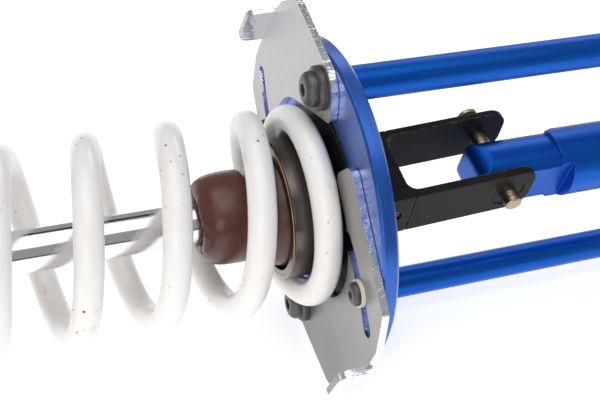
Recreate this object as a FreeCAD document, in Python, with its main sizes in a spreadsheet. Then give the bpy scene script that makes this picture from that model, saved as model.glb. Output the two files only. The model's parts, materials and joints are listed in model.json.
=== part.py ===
"""Coil-over strut held in its two-post spring compressor, as a parametric document.

Frame: X runs along the strut and tool axis, from the damper eye (-X) to the draw screw (+X);
Z is up, and the two posts stand straight above and below the axis.  Positions along X are
measured from the anvil plate's rear face, and every node is then moved back by frame_x, which
puts the origin at the centre of the end plate's outer face.  Lengths are millimetres.
"""
import FreeCAD
import Part
import math
import os
import Sketcher

DIMS = {
    # from the anvil plate's rear face to the origin
    "frame_x": 250,
    # anvil plate, posts and end plate
    "anvil_rad": 72.5, "anvil_thick": 7, "anvil_hole_rad": 46.5, "edge_break": 1,
    "circle_rad": 59.5, "post_rad": 7.4, "post_len": 238, "post_bore_deep": 22,
    "end_thick": 12, "end_half_wide": 24, "end_half_high": 76, "end_corner_rad": 12,
    "mount_hole_rad": 4.25, "mount_half_y": 15.5, "mount_half_z": 38,
    # swing plates
    "swing_thick": 3, "swing_gap": 0.2, "swing_end_rad": 12.7, "jaw_rad": 34.5,
    "pivot_hole_rad": 4.05, "slot_half": 3.6, "tab_reach": 12,
    # bolts and washers
    "pivot_rad": 4, "pivot_head_rad": 7.4, "pivot_head_high": 4.6, "pivot_dome": 3.2,
    "pivot_washer_rad": 9.3, "pivot_washer_thick": 3, "pivot_key_rad": 2.9,
    "guide_rad": 3.4, "guide_head_rad": 4.9, "guide_head_high": 2.9, "guide_dome": 2.0,
    "guide_washer_rad": 5.8, "guide_washer_thick": 1.5, "guide_key_rad": 1.8, "slack": 0.1,
    # coil spring
    "coil_rad": 38.48, "wire_rad": 5.88, "coil_pitch": 34.25, "coil_mark_x": -106.4,
    "coil_first_x": -16.3, "coil_last_x": -235.8,
    # rod, bump stop and what sits on the rod's clevis end
    "rod_rad": 9, "rod_tail_x": -178, "rod_shoulder_x": 10, "rod_spigot_rad": 8,
    "rod_spigot_len": 15, "piston_spigot_rad": 6, "piston_spigot_len": 31,
    "stop_mouth_x": -63, "stop_rear_x": -17, "stop_bulb_rad": 20.4, "stop_groove_rad": 17.4,
    "stop_bell_rad": 26.3, "stop_bore_rad": 9.3, "stop_mouth_rad": 12.5,
    "collar_front_x": -28.5, "collar_rad": 30.5, "collar_bore_rad": 26.7,
    "seat_ring_rad": 30.9, "boss_rad": 24, "neck_x": -10.8, "neck_rad": 29.5,
    "flange_x": -6.4, "flange_rad": 44.5, "flange_rear_x": 1.6, "hub_rad": 21,
    # clevis
    "clevis_end_x": 92, "clevis_half": 18.9, "clevis_arm": 3.5, "clevis_half_high": 13.6,
    "window_x": 28.6, "pin_x": 79, "clevis_hole_rad": 4.05, "spot_rad": 9, "spot_deep": 0.6,
    "lean_x": -60, "adjuster_x": 22.5, "adjuster_rad": 3.6, "adjuster_deep": 7,
    "slit_x": 30, "slit_wide": 0.9,
    # cross pin
    "pin_rad": 4, "pin_near": -26, "pin_head_near": 25.4, "pin_head_thick": 2.6,
    "pin_head_rad": 5.1,
    # draw tube and its nut
    "tube_rad": 16.1, "tube_front_x": 67, "tube_rear_x": 172, "tube_bore_rad": 9.2,
    "tube_bore_x": 93, "eye_half": 14.6, "eye_thick": 10.2, "eye_round": 9,
    "side_flat_x": 113, "top_flat_x": 107,
    "nut_rad": 12, "nut_x": 150, "nut_bore_rad": 8.05,
    # draw screw, thrust bearing and tommy bar
    "screw_rad": 8, "screw_front_x": 138, "bearing_rad": 17, "race_thick": 2, "ball_rad": 2,
    "screw_collar_rad": 16, "screw_head_rad": 13, "screw_head_len": 26, "collar_thick": 4,
    "end_hole_rad": 8.3, "bar_hole_rad": 5.06, "bar_rad": 5, "bar_half": 78, "knob_rad": 8.5,
    # damper
    "body_rad": 24, "body_bore_rad": 20, "body_mouth_x": -160, "body_rear_x": -346,
    "seal_len": 12, "seal_bore_rad": 9.05, "wiper_len": 5, "wiper_rad": 18,
    "piston_rad": 19.95, "piston_x": -198, "piston_len": 18, "floating_x": -318,
    "floating_len": 14, "cap_rear_x": -358, "eye_x": -376, "eyelet_rad": 17, "eyelet_half": 11,
    "race_rad": 12.5, "eye_bore_rad": 5.05, "bush_half": 14,
    # preload hardware
    "seat_face_x": -241.78, "seat_thick": 6.5, "seat_rad": 44, "seat_pilot_rad": 31.6,
    "seat_pilot_len": 5, "seat_bore_rad": 24.3, "preload_thick": 13, "preload_rad": 32,
    "lock_thick": 8, "nut_gap": 0.2,
}
SWING_UPPER_DEG = 8.3
STRUT_ROLL_DEG = 16.6

doc = FreeCAD.newDocument("strut_assembly")
sheet = doc.addObject("Spreadsheet::Sheet", "Dims")
for row, (alias, value) in enumerate(DIMS.items(), start=1):
    sheet.set("A%d" % row, alias)
    sheet.set("B%d" % row, str(value))
    sheet.setAlias("B%d" % row, alias)
doc.recompute()

V = FreeCAD.Vector
X_AXIS = V(1, 0, 0)
ALONG_X = FreeCAD.Rotation(V(0, 1, 0), 90)
ALONG_Y = FreeCAD.Rotation(V(1, 0, 0), -90)
SIDE_PLANE = FreeCAD.Rotation(V(1, 0, 0), 90)
CROSS_PLANE = FreeCAD.Rotation(V(0, 1, 0), V(0, 0, 1), V(1, 0, 0), "XYZ")
ROLL = FreeCAD.Placement(V(0, 0, 0), FreeCAD.Rotation(X_AXIS, STRUT_ROLL_DEG))
# the clevis and its pin lean a little off the tool's axis, about a point on that axis
LEAN_Y_PER_MM = 0.024
LEAN_Z_PER_MM = 0.034
LEAN = FreeCAD.Placement(
    V(0, 0, 0),
    FreeCAD.Rotation(X_AXIS, V(1, LEAN_Y_PER_MM, LEAN_Z_PER_MM)).multiply(ROLL.Rotation),
    V(DIMS["lean_x"], 0, 0))
nodes = []


def number(text):
    """Value of a sum such as "neck_x - slack", from the driving dimensions."""
    total = 0.0
    sign = 1
    for word in str(text).split():
        if word in "+-":
            sign = 1 if word == "+" else -1
        else:
            total += sign * (DIMS[word] if word in DIMS else float(word))
            sign = 1
    return total


def formula(text):
    """The same sum as an expression over the spreadsheet's cells."""
    return " ".join("Dims." + word if word in DIMS else word for word in str(text).split())


def bind(obj, **sizes):
    for prop, text in sizes.items():
        setattr(obj, prop, number(text))
        obj.setExpression(prop, formula(text))
    return obj


def shift(obj, x="0", y="0", z="0"):
    """Bind a primitive's place to the sheet."""
    for axis, text in (("x", x), ("y", y), ("z", z)):
        obj.setExpression(".Placement.Base." + axis, formula(text))
    return obj


def rod_along_x(name, radius, start, length, y="0", z="0"):
    cylinder = doc.addObject("Part::Cylinder", name)
    cylinder.Placement = FreeCAD.Placement(V(0, 0, 0), ALONG_X)
    return shift(bind(cylinder, Radius=radius, Height=length), start, y, z)


def rod_along_y(name, radius, start, length, x="0", z="0"):
    cylinder = doc.addObject("Part::Cylinder", name)
    cylinder.Placement = FreeCAD.Placement(V(0, 0, 0), ALONG_Y)
    return shift(bind(cylinder, Radius=radius, Height=length), x, start, z)


def block(name, low, size):
    box = doc.addObject("Part::Box", name)
    bind(box, Length=size[0], Width=size[1], Height=size[2])
    return shift(box, *low)


def ball(name, radius, x="0", y="0", z="0"):
    return shift(bind(doc.addObject("Part::Sphere", name), Radius=radius), x, y, z)


def cut(name, base, *tools):
    for count, tool in enumerate(tools):
        result = doc.addObject("Part::Cut", "%s_cut%d" % (name, count))
        result.Base = base
        result.Tool = tool
        base = result
    return base


def join(name, *shapes):
    fused = doc.addObject("Part::MultiFuse", name + "_join")
    fused.Shapes = list(shapes)
    return fused


def overlap(name, first, second):
    common = doc.addObject("Part::Common", name + "_common")
    common.Base = first
    common.Tool = second
    return common


def outline(name, points, rotation):
    """A closed sketch whose corners are all placed by the sheet."""
    sketch = doc.addObject("Sketcher::SketchObject", name + "_sketch")
    sketch.Placement = FreeCAD.Placement(V(0, 0, 0), rotation)
    corners = [V(number(a), number(b), 0) for a, b in points]
    for start, end in zip(corners, corners[1:] + corners[:1]):
        sketch.addGeometry(Part.LineSegment(start, end))
    for index in range(len(points)):
        before = (index - 1) % len(points)
        sketch.addConstraint(Sketcher.Constraint("Coincident", before, 2, index, 1))
    for index, corner in enumerate(points):
        for kind, text in zip(("DistanceX", "DistanceY"), corner):
            where = sketch.addConstraint(
                Sketcher.Constraint(kind, -1, 1, index, 1, number(text)))
            sketch.setExpression("Constraints[%d]" % where, formula(text))
    return sketch


def turned(name, points):
    """Turn a profile of (x, radius) corners about the strut axis."""
    solid = doc.addObject("Part::Revolution", name + "_turned")
    solid.Source = outline(name, points, SIDE_PLANE)
    solid.Axis = X_AXIS
    solid.Base = V(0, 0, 0)
    solid.Angle = 360
    solid.Solid = True
    return solid


def pressed(name, points, start, length):
    """Push a (y, z) outline along X from start."""
    sketch = outline(name, points, CROSS_PLANE)
    sketch.setExpression(".Placement.Base.x", formula(start))
    solid = doc.addObject("Part::Extrusion", name + "_pressed")
    solid.Base = sketch
    solid.DirMode = "Custom"
    solid.Dir = X_AXIS
    solid.Solid = True
    return bind(solid, LengthFwd=length)


def edges_where(shape, test):
    return [index for index, edge in enumerate(shape.Edges, start=1) if test(edge)]


def rounded(name, base, radius, test):
    """Fillet the edges of base that pass the test."""
    doc.recompute()
    fillet = doc.addObject("Part::Fillet", name + "_fillet")
    fillet.Base = base
    fillet.Edges = [(index, radius, radius) for index in edges_where(base.Shape, test)]
    return fillet


def bevelled(name, base, size, test):
    doc.recompute()
    chamfer = doc.addObject("Part::Chamfer", name + "_chamfer")
    chamfer.Base = base
    chamfer.Edges = [(index, size, size) for index in edges_where(base.Shape, test)]
    return chamfer


def ring_at(x, radius):
    """Test for a full circle about the strut axis."""
    def test(edge):
        curve = edge.Curve
        return (isinstance(curve, Part.Circle) and abs(curve.Radius - radius) < 0.01
                and abs(curve.Center.x - x) < 0.01)
    return test


def runs_along(axis, near=None, reach=0.5):
    """Test for a straight edge along an axis, near a point of the cross plane."""
    def test(edge):
        if not isinstance(edge.Curve, Part.Line):
            return False
        if abs(abs(edge.tangentAt(edge.FirstParameter).dot(axis)) - 1) > 1e-6:
            return False
        middle = edge.valueAt((edge.FirstParameter + edge.LastParameter) / 2)
        return near is None or (middle - near).cross(axis).Length < reach
    return test


def keep(name, base, place=None):
    """Make base the named node: turned as a whole by place, and moved back by frame_x."""
    holder = doc.addObject("Part::Compound", name)
    holder.Links = [base] if not isinstance(base, (list, tuple)) else list(base)
    if place is not None:
        holder.Placement = place
    start = "%.9f" % holder.Placement.Base.x
    holder.setExpression(".Placement.Base.x", formula(start + " - frame_x"))
    holder.Label = name
    nodes.append(holder)
    return holder


def hexagon(name, radius, start, length, y="0", z="0"):
    prism = doc.addObject("Part::Prism", name)
    prism.Polygon = 6
    prism.Placement = FreeCAD.Placement(V(0, 0, 0), ALONG_X)
    return shift(bind(prism, Circumradius=radius, Height=length), start, y, z)


def placed(base, y, z):
    """A second copy of a shape, moved across the axis."""
    copy = doc.addObject("Part::Compound", base.Name + "_at")
    copy.Links = [base]
    return shift(copy, "0", y, z)


def turned_by(place, name, base):
    """Base as a whole, turned by a placement, for further cuts in the tool's own frame."""
    holder = doc.addObject("Part::Compound", name)
    holder.Links = [base]
    holder.Placement = place
    return holder


def make_anvil():
    disc = turned("anvil", [
        ("- anvil_thick", "anvil_hole_rad + edge_break"),
        ("- anvil_thick", "anvil_rad - edge_break"),
        ("edge_break - anvil_thick", "anvil_rad"),
        ("- edge_break", "anvil_rad"),
        ("0", "anvil_rad - edge_break"),
        ("0", "anvil_hole_rad + edge_break"),
        ("- edge_break", "anvil_hole_rad"),
        ("edge_break - anvil_thick", "anvil_hole_rad")])
    holes = [rod_along_x("anvil_bolt_%d" % index, "pivot_rad", "- anvil_thick", "anvil_thick",
                         z=side + " circle_rad") for index, side in enumerate("+-")]
    holes += [rod_along_x("anvil_guide_%d" % index, "guide_rad", "- anvil_thick", "anvil_thick",
                          y=side + " circle_rad") for index, side in enumerate("+-")]
    keep("anvil_plate", cut("anvil", disc, *holes))


def make_post(name, side):
    height = side + " circle_rad"
    bar = rod_along_x(name + "_bar", "post_rad", "0", "post_len", z=height)
    front = rod_along_x(name + "_front", "pivot_rad", "0", "post_bore_deep", z=height)
    rear = rod_along_x(name + "_rear", "pivot_rad", "post_len - post_bore_deep",
                       "post_bore_deep", z=height)
    keep(name, cut(name, bar, front, rear))


def make_end_plate():
    corners = [(a + " end_half_wide", b + " end_half_high")
               for a, b in (("-", "-"), ("+", "-"), ("+", "+"), ("-", "+"))]
    plate = pressed("end_plate", corners, "post_len", "end_thick")
    plate = rounded("end_plate", plate, DIMS["end_corner_rad"], runs_along(X_AXIS))
    holes = [rod_along_x("end_screw_hole", "end_hole_rad", "post_len", "end_thick")]
    for index, side in enumerate("+-"):
        holes.append(rod_along_x("end_bolt_hole_%d" % index, "pivot_rad", "post_len",
                                 "end_thick", z=side + " circle_rad"))
        for other, across in enumerate("+-"):
            holes.append(rod_along_x("end_mount_%d%d" % (index, other), "mount_hole_rad",
                                     "post_len", "end_thick", across + " mount_half_y",
                                     side + " mount_half_z"))
    plate = cut("end_plate", plate, *holes)
    rims = bevelled("end_plate", plate, DIMS["edge_break"],
                    lambda edge: edge.Length > 40 and abs(edge.tangentAt(
                        edge.FirstParameter).x) < 1e-6)
    keep("end_plate", rims)


def button_bolt(name, radius, head_rad, head_high, dome, key_rad, seat_x, tip_x):
    """Button-head screw on the axis: its head faces -X and its shank ends at tip_x."""
    top = seat_x + " - " + head_high
    body = turned(name, [
        (top, "0"), (top, head_rad), (seat_x, head_rad), (seat_x, radius),
        (tip_x + " - edge_break", radius), (tip_x, radius + " - edge_break"), (tip_x, "0")])
    body = rounded(name, body, DIMS[dome], ring_at(number(top), DIMS[head_rad]))
    key = hexagon(name + "_key", key_rad, top, dome)
    return cut(name, body, key)


def make_pivot_hardware():
    seat = "- anvil_thick - swing_gap - swing_thick - slack - pivot_washer_thick"
    bolt = button_bolt("pivot_bolt", "pivot_rad", "pivot_head_rad", "pivot_head_high",
                       "pivot_dome", "pivot_key_rad", seat, "post_bore_deep - 3")
    keep("pivot_bolts", [placed(bolt, "0", side + " circle_rad") for side in "+-"])
    washer = turned("pivot_washer", [
        (seat, "pivot_rad"), (seat, "pivot_washer_rad - edge_break"),
        (seat + " + edge_break", "pivot_washer_rad"),
        (seat + " + pivot_washer_thick", "pivot_washer_rad"),
        (seat + " + pivot_washer_thick", "pivot_rad")])
    keep("pivot_washers", [placed(washer, "0", side + " circle_rad") for side in "+-"])


def make_guide_hardware():
    seat = "- anvil_thick - swing_gap - swing_thick - slack - guide_washer_thick"
    screw = button_bolt("guide_screw", "guide_rad", "guide_head_rad", "guide_head_high",
                        "guide_dome", "guide_key_rad", seat, "- 0.5")
    keep("guide_screws", [placed(screw, side + " circle_rad", "0") for side in "+-"])
    washer = turned("guide_washer", [
        (seat, "guide_rad"), (seat, "guide_washer_rad"),
        (seat + " + guide_washer_thick", "guide_washer_rad"),
        (seat + " + guide_washer_thick", "guide_rad")])
    keep("guide_washers", [placed(washer, side + " circle_rad", "0") for side in "+-"])


def make_end_hardware():
    seat = "post_len + end_thick"
    bolt = button_bolt("end_bolt", "pivot_rad", "pivot_head_rad", "pivot_head_high",
                       "pivot_dome", "pivot_key_rad", "0", "end_thick + post_bore_deep - 3")
    turn = FreeCAD.Placement(V(number(seat), 0, 0), FreeCAD.Rotation(V(0, 0, 1), 180))
    flipped = doc.addObject("Part::Compound", "end_bolt_flipped")
    flipped.Links = [bolt]
    flipped.Placement = turn
    keep("end_bolts", [placed(flipped, "0", side + " circle_rad") for side in "+-"])


def swing_corners():
    """Corners of the swing plate in its part-closed place, pivot below the axis."""
    return [("-6", "-72.9"), ("-38", "-76.2"), ("-53", "-64.5"), ("-60.5", "-55"),
            ("-74", "-27.5"), ("-79.5", "-14"), ("-80.5", "6.5"), ("-37", "46.5"),
            ("-25", "34.5"), ("-28", "-30.8"), ("13.5", "-51.6"), ("13.5", "-58"),
            ("6", "-70.5")]


def make_swing_plate(name, turn_deg, half_turn):
    """C-shaped jaw with its guide slot and its bent finger tab."""
    start = "- anvil_thick - swing_gap - swing_thick"
    sheet_metal = pressed(name, swing_corners(), start, "swing_thick")
    for label, (y, z), radius in (("tip", (-25, 34.5), 6.0), ("nose", (-37, 46.5), 5.0),
                                  ("heel", (13.5, -51.6), 3.0), ("foot", (-38, -76.2), 9.0),
                                  ("knee", (-53, -64.5), 6.0), ("back", (-80.5, 6.5), 5.0),
                                  ("rump", (-79.5, -14), 8.0)):
        sheet_metal = rounded(name + "_" + label, sheet_metal, radius,
                              runs_along(X_AXIS, V(number(start), y, z)))
    around_pivot = rod_along_x(name + "_round", "swing_end_rad", start, "swing_thick",
                               z="- circle_rad")
    tab = block(name + "_tab", ("0", "0", "0"), ("tab_reach + swing_thick", "swing_thick", "27"))
    reach = DIMS["tab_reach"] + DIMS["swing_thick"]
    tab = rounded(name + "_bend", tab, 2.8, runs_along(
        V(0, 0, 1), V(reach, DIMS["swing_thick"], 0)))
    tab = rounded(name + "_tab_end", tab, 5.0, lambda edge: any(
        runs_along(V(0, 1, 0), V(0, 0, side))(edge) for side in (0, 27)))
    tab.Placement = FreeCAD.Placement(
        V(number(start) - DIMS["tab_reach"], -72.6, -28.9), FreeCAD.Rotation(X_AXIS, 206.2))
    solid = join(name, sheet_metal, around_pivot, tab)
    jaw = rod_along_x(name + "_jaw", "jaw_rad", start, "swing_thick", "- 10.2", "- 0.9")
    hole = rod_along_x(name + "_hole", "pivot_hole_rad", start, "swing_thick",
                       z="- circle_rad")
    solid = cut(name, solid, jaw, hole, slot_tool(name, start))
    pivot = V(0, 0, -DIMS["circle_rad"])
    place = FreeCAD.Placement(V(0, 0, 0), FreeCAD.Rotation(X_AXIS, turn_deg), pivot)
    if half_turn:
        place = FreeCAD.Placement(V(0, 0, 0), FreeCAD.Rotation(X_AXIS, 180)).multiply(place)
    keep(name, solid, place)


def slot_tool(name, start):
    """Arc-shaped slot, struck from the pivot, that rides over the guide screw."""
    mid = DIMS["circle_rad"] * math.sqrt(2)
    pivot = V(number(start), 0, -DIMS["circle_rad"])
    half = DIMS["slot_half"]

    def at(radius, angle):
        turn = math.radians(angle)
        return pivot + V(0, -radius * math.sin(turn), radius * math.cos(turn))
    first, middle, last = 30.0, 42.5, 55.0
    end_turn = math.degrees(half / mid)
    edges = [
        Part.Arc(at(mid - half, first), at(mid - half, middle), at(mid - half, last)),
        Part.Arc(at(mid - half, last), at(mid, last + end_turn), at(mid + half, last)),
        Part.Arc(at(mid + half, last), at(mid + half, middle), at(mid + half, first)),
        Part.Arc(at(mid + half, first), at(mid, first - end_turn), at(mid - half, first))]
    face = Part.Face(Part.Wire([edge.toShape() for edge in edges]))
    tool = doc.addObject("Part::Feature", name + "_slot")
    tool.Shape = face.extrude(V(DIMS["swing_thick"], 0, 0))
    return tool


def coil_x(turns):
    """Wire centre along X: constant pitch, easing into a flat coil at each end."""
    straight = DIMS["coil_mark_x"] + DIMS["coil_pitch"] * turns
    soft = 1.8
    low, high = DIMS["coil_last_x"], DIMS["coil_first_x"]
    value = high - soft * math.log1p(math.exp((high - straight) / soft))
    return low + soft * math.log1p(math.exp((value - low) / soft))


def make_spring():
    first, last = -4.33, 3.19
    steps = 170
    points = []
    for step in range(steps + 1):
        turns = first + (last - first) * step / steps
        angle = 2 * math.pi * turns
        points.append(V(coil_x(turns), DIMS["coil_rad"] * math.sin(angle),
                        DIMS["coil_rad"] * math.cos(angle)))
    path = Part.BSplineCurve()
    path.interpolate(points)
    spine = Part.Wire([path.toShape()])
    circle = Part.Wire([Part.makeCircle(DIMS["wire_rad"], points[0], path.tangent(
        path.FirstParameter)[0])])
    coil = doc.addObject("Part::Feature", "spring_coil")
    sweep = Part.BRepOffsetAPI.MakePipeShell(spine)
    sweep.setFrenetMode(True)
    sweep.add(circle)
    sweep.build()
    sweep.makeSolid()
    coil.Shape = sweep.shape()
    keep("main_spring", coil)


def make_rod():
    keep("rod", turned("rod", [
        ("rod_tail_x - piston_spigot_len", "0"),
        ("rod_tail_x - piston_spigot_len", "piston_spigot_rad - edge_break"),
        ("rod_tail_x - piston_spigot_len + edge_break", "piston_spigot_rad"),
        ("rod_tail_x", "piston_spigot_rad"), ("rod_tail_x", "rod_rad"),
        ("rod_shoulder_x", "rod_rad"), ("rod_shoulder_x", "rod_spigot_rad"),
        ("rod_shoulder_x + rod_spigot_len", "rod_spigot_rad"),
        ("rod_shoulder_x + rod_spigot_len", "0")]))


def make_bump_stop():
    body = turned("bump_stop", [
        ("stop_mouth_x", "stop_mouth_rad"), ("stop_mouth_x", "stop_bulb_rad - 4.5"),
        ("stop_mouth_x + 6", "stop_bulb_rad"), ("stop_mouth_x + 15", "stop_bulb_rad"),
        ("stop_mouth_x + 19", "stop_groove_rad"), ("stop_mouth_x + 21.5", "stop_groove_rad"),
        ("stop_mouth_x + 30", "stop_bell_rad - 1.2"), ("stop_mouth_x + 33", "stop_bell_rad"),
        ("stop_rear_x", "stop_bell_rad"), ("stop_rear_x", "stop_bore_rad"),
        ("stop_mouth_x + 12", "stop_bore_rad"), ("stop_mouth_x + 5", "stop_mouth_rad")])
    x = DIMS["stop_mouth_x"]
    for label, where, radius, size in (("a", 6, DIMS["stop_bulb_rad"], 6.0),
                                       ("b", 15, DIMS["stop_bulb_rad"], 6.0),
                                       ("c", 21.5, DIMS["stop_groove_rad"], 1.8)):
        body = rounded("bump_stop_" + label, body, size, ring_at(x + where, radius))
    keep("bump_stop", body)


def make_spring_collar():
    keep("spring_collar", turned("spring_collar", [
        ("collar_front_x", "collar_bore_rad"), ("collar_front_x", "collar_rad - edge_break"),
        ("collar_front_x + edge_break", "collar_rad"), ("stop_rear_x", "collar_rad"),
        ("stop_rear_x", "collar_bore_rad")]))


def make_seat_ring():
    band = turned("seat_ring", [
        ("stop_rear_x", "boss_rad"), ("stop_rear_x", "seat_ring_rad - 0.5"),
        ("stop_rear_x + 0.5", "seat_ring_rad"), ("neck_x - 0.5", "seat_ring_rad"),
        ("neck_x", "seat_ring_rad - 0.5"), ("neck_x", "boss_rad")])
    keep("seat_ring", band)


def make_retainer():
    keep("spring_retainer", turned("retainer", [
        ("stop_rear_x", "rod_rad"), ("stop_rear_x", "boss_rad"), ("neck_x", "boss_rad"),
        ("neck_x", "neck_rad"), ("flange_x", "neck_rad"), ("flange_x", "flange_rad - edge_break"),
        ("flange_x + edge_break", "flange_rad"), ("flange_rear_x - edge_break", "flange_rad"),
        ("flange_rear_x", "flange_rad - edge_break"), ("flange_rear_x", "hub_rad"),
        ("rod_shoulder_x", "hub_rad"), ("rod_shoulder_x", "rod_rad")]))


def make_clevis():
    full = block("clevis_block", ("rod_shoulder_x - 2", "- clevis_half", "- clevis_half_high"),
                 ("clevis_end_x - rod_shoulder_x + 2", "clevis_half + clevis_half",
                  "clevis_half_high + clevis_half_high"))
    end = DIMS["clevis_end_x"]
    high = DIMS["clevis_half_high"]
    full = rounded("clevis_end", full, 9.5, lambda edge: any(
        runs_along(V(0, 1, 0), V(end, 0, side * high))(edge) for side in (1, -1)))
    full = rounded("clevis_long", full, 1.2, lambda edge: runs_along(X_AXIS)(edge))
    gap = block("clevis_gap", ("window_x", "clevis_arm - clevis_half", "- clevis_half_high"),
                ("clevis_end_x - window_x", "clevis_half + clevis_half - clevis_arm - clevis_arm",
                 "clevis_half_high + clevis_half_high"))
    inner = DIMS["clevis_half"] - DIMS["clevis_arm"]
    gap = rounded("clevis_gap", gap, 5.0, lambda edge: any(
        runs_along(V(0, 0, 1), V(DIMS["window_x"], side * inner, 0))(edge) for side in (1, -1)))
    tools = [gap,
             rod_along_y("clevis_pin_hole", "clevis_hole_rad", "- clevis_half",
                         "clevis_half + clevis_half", "pin_x"),
             rod_along_y("clevis_spot_near", "spot_rad", "- clevis_half", "spot_deep", "pin_x"),
             rod_along_y("clevis_adjuster_hole", "adjuster_rad", "- clevis_half",
                         "adjuster_deep + 1", "adjuster_x")]
    for index, side in enumerate(("- clevis_half", "clevis_half - slit_wide")):
        tools.append(block("clevis_slit_%d" % index, ("slit_x", side, "- clevis_half_high"),
                           ("slit_wide", "slit_wide", "clevis_half_high + clevis_half_high")))
    leaning = turned_by(LEAN, "clevis_leaning", cut("clevis_rough", full, *tools))
    rod_hole = rod_along_x("clevis_rod_hole", "rod_spigot_rad", "rod_shoulder_x - 4",
                           "rod_spigot_len + 4")
    rear_trim = block("clevis_rear_trim", ("rod_shoulder_x - 10", "- 40", "- 40"),
                      ("10", "80", "80"))
    keep("clevis", cut("clevis", leaning, rod_hole, rear_trim))


def make_adjuster():
    knob = rod_along_y("adjuster_knob", "adjuster_rad - 0.05", "1 - clevis_half",
                       "adjuster_deep - 0.3", "adjuster_x")
    blade = block("adjuster_blade", ("adjuster_x - 4", "1 - clevis_half", "- 0.5"),
                  ("8", "1.2", "1"))
    keep("rebound_adjuster", cut("adjuster", knob, blade), LEAN)


def make_pin():
    shaft = rod_along_y("pin_shaft", "pin_rad", "pin_near", "pin_head_near - pin_near + 1",
                        "pin_x")
    head = rod_along_y("pin_head", "pin_head_rad", "pin_head_near", "pin_head_thick", "pin_x")
    whole = join("pin", shaft, head)
    whole = bevelled("pin", whole, 0.6, lambda edge: isinstance(edge.Curve, Part.Circle) and (
        abs(edge.Curve.Center.y - DIMS["pin_near"]) < 0.01 or edge.Curve.Radius > 5))
    keep("cross_pin", whole, LEAN)


def make_draw_tube():
    bar = join("tube_stock",
               rod_along_x("tube_bar", "tube_rad", "top_flat_x", "tube_rear_x - top_flat_x"),
               rod_along_x("tube_eye_bar", "eye_half", "tube_front_x",
                           "top_flat_x - tube_front_x + 1"))
    bar = bevelled("tube", bar, 1.5, ring_at(DIMS["tube_rear_x"], DIMS["tube_rad"]))
    front = block("tube_envelope", ("tube_front_x", "- eye_thick", "- eye_half"),
                  ("top_flat_x - tube_front_x", "eye_thick + eye_thick", "eye_half + eye_half"))
    x, half = DIMS["tube_front_x"], DIMS["eye_half"]
    front = rounded("tube_nose", front, DIMS["eye_round"], lambda edge: any(
        runs_along(V(0, 1, 0), V(x, 0, side * half))(edge) for side in (1, -1)))
    rest = block("tube_rest", ("top_flat_x", "- tube_rad", "- tube_rad"),
                 ("tube_rear_x - top_flat_x", "tube_rad + tube_rad", "tube_rad + tube_rad"))
    bar = overlap("tube", bar, join("tube_limits", front, rest))
    tools = []
    for index, side in enumerate((1, -1)):
        start = "eye_thick" if side > 0 else "- tube_rad - 1"
        flat = block("tube_flat_%d" % index, ("top_flat_x - 1", start, "- tube_rad"),
                     ("side_flat_x - top_flat_x + 1", "tube_rad - eye_thick + 1",
                      "tube_rad + tube_rad"))
        tools.append(flat)
    tools.append(rod_along_x("tube_bore", "tube_bore_rad", "tube_bore_x",
                             "tube_rear_x - tube_bore_x"))
    tools.append(rod_along_x("tube_nut_seat", "nut_rad", "nut_x", "tube_rear_x - nut_x"))
    rolled = turned_by(ROLL, "tube_rolled", cut("tube_rough", bar, *tools))
    pin_hole = rod_along_y("tube_pin_hole", "clevis_hole_rad", "- clevis_half",
                           "clevis_half + clevis_half", "pin_x")
    keep("draw_tube", cut("tube", rolled, turned_by(LEAN, "tube_pin_hole_leaning", pin_hole)))
    sleeve = rod_along_x("nut_sleeve", "nut_rad", "nut_x", "tube_rear_x - nut_x")
    thread = rod_along_x("nut_thread", "nut_bore_rad", "nut_x", "tube_rear_x - nut_x")
    keep("draw_nut", cut("nut", sleeve, thread))


def make_draw_screw():
    seat = "post_len + end_thick + race_thick + race_thick + ball_rad + ball_rad + slack"
    body = turned("draw_screw", [
        ("screw_front_x", "0"), ("screw_front_x", "screw_rad - 1.5"),
        ("screw_front_x + 1.5", "screw_rad"), (seat, "screw_rad"),
        (seat, "screw_collar_rad"), (seat + " + collar_thick", "screw_collar_rad"),
        (seat + " + collar_thick", "screw_head_rad"),
        (seat + " + collar_thick + screw_head_len - 1.5", "screw_head_rad"),
        (seat + " + collar_thick + screw_head_len", "screw_head_rad - 1.5"),
        (seat + " + collar_thick + screw_head_len", "0")])
    middle = seat + " + collar_thick + 13"
    hole = rod_along_y("screw_bar_hole", "bar_hole_rad", "- screw_head_rad",
                       "screw_head_rad + screw_head_rad", middle)
    keep("draw_screw", cut("draw_screw", body, hole))
    bar = rod_along_y("bar", "bar_rad", "- bar_half", "bar_half + bar_half", middle)
    keep("tommy_bar", bar)
    knobs = []
    for index, side in enumerate("+-"):
        knob = ball("knob_%d" % index, "knob_rad", middle, side + " bar_half")
        socket = rod_along_y("knob_socket_%d" % index, "bar_rad", "- bar_half",
                             "bar_half + bar_half", middle)
        knobs.append(cut("knob_%d" % index, knob, socket))
    keep("bar_knobs", knobs)


def make_thrust_bearing():
    back = "post_len + end_thick"
    races = []
    for index, start in enumerate((back, back + " + race_thick + ball_rad + ball_rad")):
        plate = rod_along_x("race_%d" % index, "bearing_rad", start, "race_thick")
        hole = rod_along_x("race_hole_%d" % index, "end_hole_rad + 0.2", start, "race_thick")
        races.append(cut("race_%d" % index, plate, hole))
    keep("thrust_races", races)
    balls = []
    for index in range(12):
        turn = 2 * math.pi * index / 12
        one = ball("ball_%d" % index, "ball_rad", back + " + race_thick + ball_rad",
                   "%.4f" % (12.8 * math.cos(turn)), "%.4f" % (12.8 * math.sin(turn)))
        balls.append(one)
    keep("thrust_balls", balls)


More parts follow.
